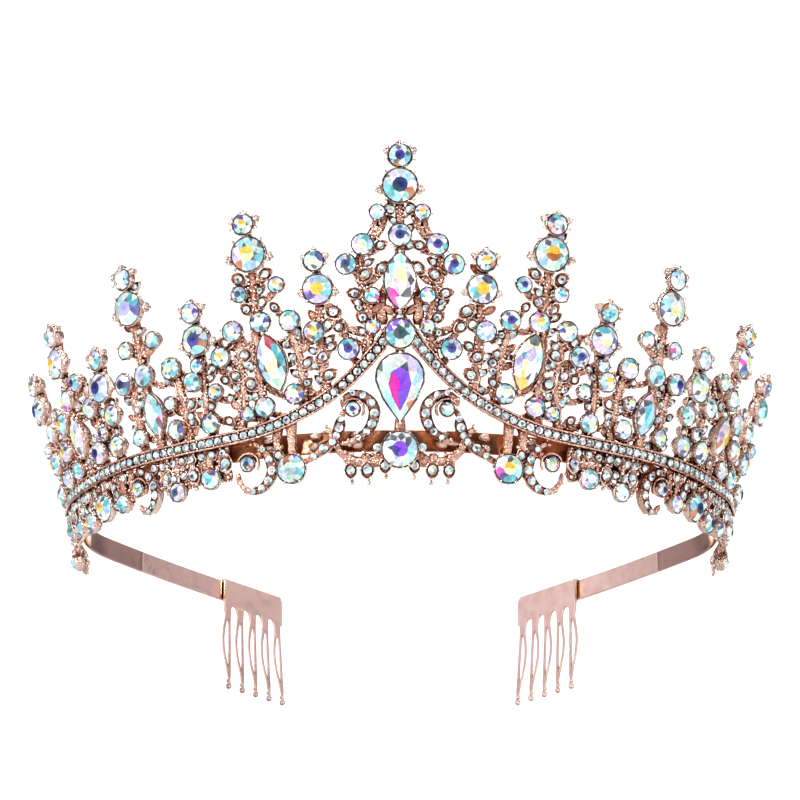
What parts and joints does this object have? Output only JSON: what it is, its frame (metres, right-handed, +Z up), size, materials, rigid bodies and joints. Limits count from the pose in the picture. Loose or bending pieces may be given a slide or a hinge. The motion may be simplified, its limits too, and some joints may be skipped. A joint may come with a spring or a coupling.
{
  "type": "bridal tiara",
  "caption": "Tall flared bridal tiara of cast filigree with faceted iridescent stones on a flat headband strip, with sprung arms ending in side combs.",
  "frame": {"origin": "centre of the overall box, on the plane that the comb tips stand on", "axes": "+Z up as worn, +Y towards the back where the combs are, +X across the width"},
  "size_m": [0.161, 0.1237, 0.0805],
  "materials": {
    "satin_rose_gold": "satin rose-gold plate on sprung steel, softly brushed",
    "cast_rose_gold": "bright rose-gold plate on cast alloy, darker in the recesses",
    "aurora_crystal": "faceted glass with an iridescent coating, pale aqua with yellow, pink and violet facets",
    "violet_crystal": "faceted glass with an iridescent coating, pale rim with violet and magenta centre facets"
  },
  "bodies": {
    "band": {"headband_strip": "satin_rose_gold", "centre_casting": "cast_rose_gold", "left_front_casting": "cast_rose_gold", "left_end_casting": "cast_rose_gold", "left_end_rosette": "cast_rose_gold", "right_front_casting": "cast_rose_gold", "right_end_casting": "cast_rose_gold", "right_end_rosette": "cast_rose_gold", "centre_marquise": "aurora_crystal", "centre_pear": "violet_crystal", "heart_round": "violet_crystal", "bottom_round": "violet_crystal", "centre_finial_large_stone": "aurora_crystal", "centre_finial_small_stone": "aurora_crystal", "left_marquise_1": "aurora_crystal", "left_marquise_2": "aurora_crystal", "left_marquise_3": "aurora_crystal", "left_drop_round_1": "aurora_crystal", "left_drop_round_2": "aurora_crystal", "left_finial_1_large_stone": "aurora_crystal", "left_finial_1_small_stone": "aurora_crystal", "left_finial_2_large_stone": "aurora_crystal", "left_finial_2_small_stone": "aurora_crystal", "left_finial_3_large_stone": "aurora_crystal", "left_finial_3_small_stone": "aurora_crystal", "left_finial_4_large_stone": "aurora_crystal", "left_finial_4_small_stone": "aurora_crystal", "left_finial_5_large_stone": "aurora_crystal", "left_finial_5_small_stone": "aurora_crystal", "left_finial_6_large_stone": "aurora_crystal", "left_finial_6_small_stone": "aurora_crystal", "left_finial_7_large_stone": "aurora_crystal", "left_finial_7_small_stone": "aurora_crystal", "right_marquise_1": "aurora_crystal", "right_marquise_2": "aurora_crystal", "right_marquise_3": "aurora_crystal", "right_drop_round_1": "aurora_crystal", "right_drop_round_2": "aurora_crystal", "right_finial_1_large_stone": "aurora_crystal", "right_finial_1_small_stone": "aurora_crystal", "right_finial_2_large_stone": "aurora_crystal", "right_finial_2_small_stone": "aurora_crystal", "right_finial_3_large_stone": "aurora_crystal", "right_finial_3_small_stone": "aurora_crystal", "right_finial_4_large_stone": "aurora_crystal", "right_finial_4_small_stone": "aurora_crystal", "right_finial_5_large_stone": "aurora_crystal", "right_finial_5_small_stone": "aurora_crystal", "right_finial_6_large_stone": "aurora_crystal", "right_finial_6_small_stone": "aurora_crystal", "right_finial_7_large_stone": "aurora_crystal", "right_finial_7_small_stone": "aurora_crystal"},
    "left_arm_assembly": {"left_arm": "satin_rose_gold", "left_comb": "satin_rose_gold"},
    "right_arm_assembly": {"right_arm": "satin_rose_gold", "right_comb": "satin_rose_gold"}
  },
  "joints": [
    {"name": "left_arm_flex", "type": "hinge", "parent": "band", "child": "left_arm_assembly", "pos_m": [-0.05988, 0.02579, 0.02385], "axis": [0, 0, 1], "range_deg": [-6, 15], "stiffness_Nm_per_rad": 0.2},
    {"name": "right_arm_flex", "type": "hinge", "parent": "band", "child": "right_arm_assembly", "pos_m": [0.05988, 0.02579, 0.02385], "axis": [0, 0, -1], "range_deg": [-6, 15], "stiffness_Nm_per_rad": 0.2}
  ]
}
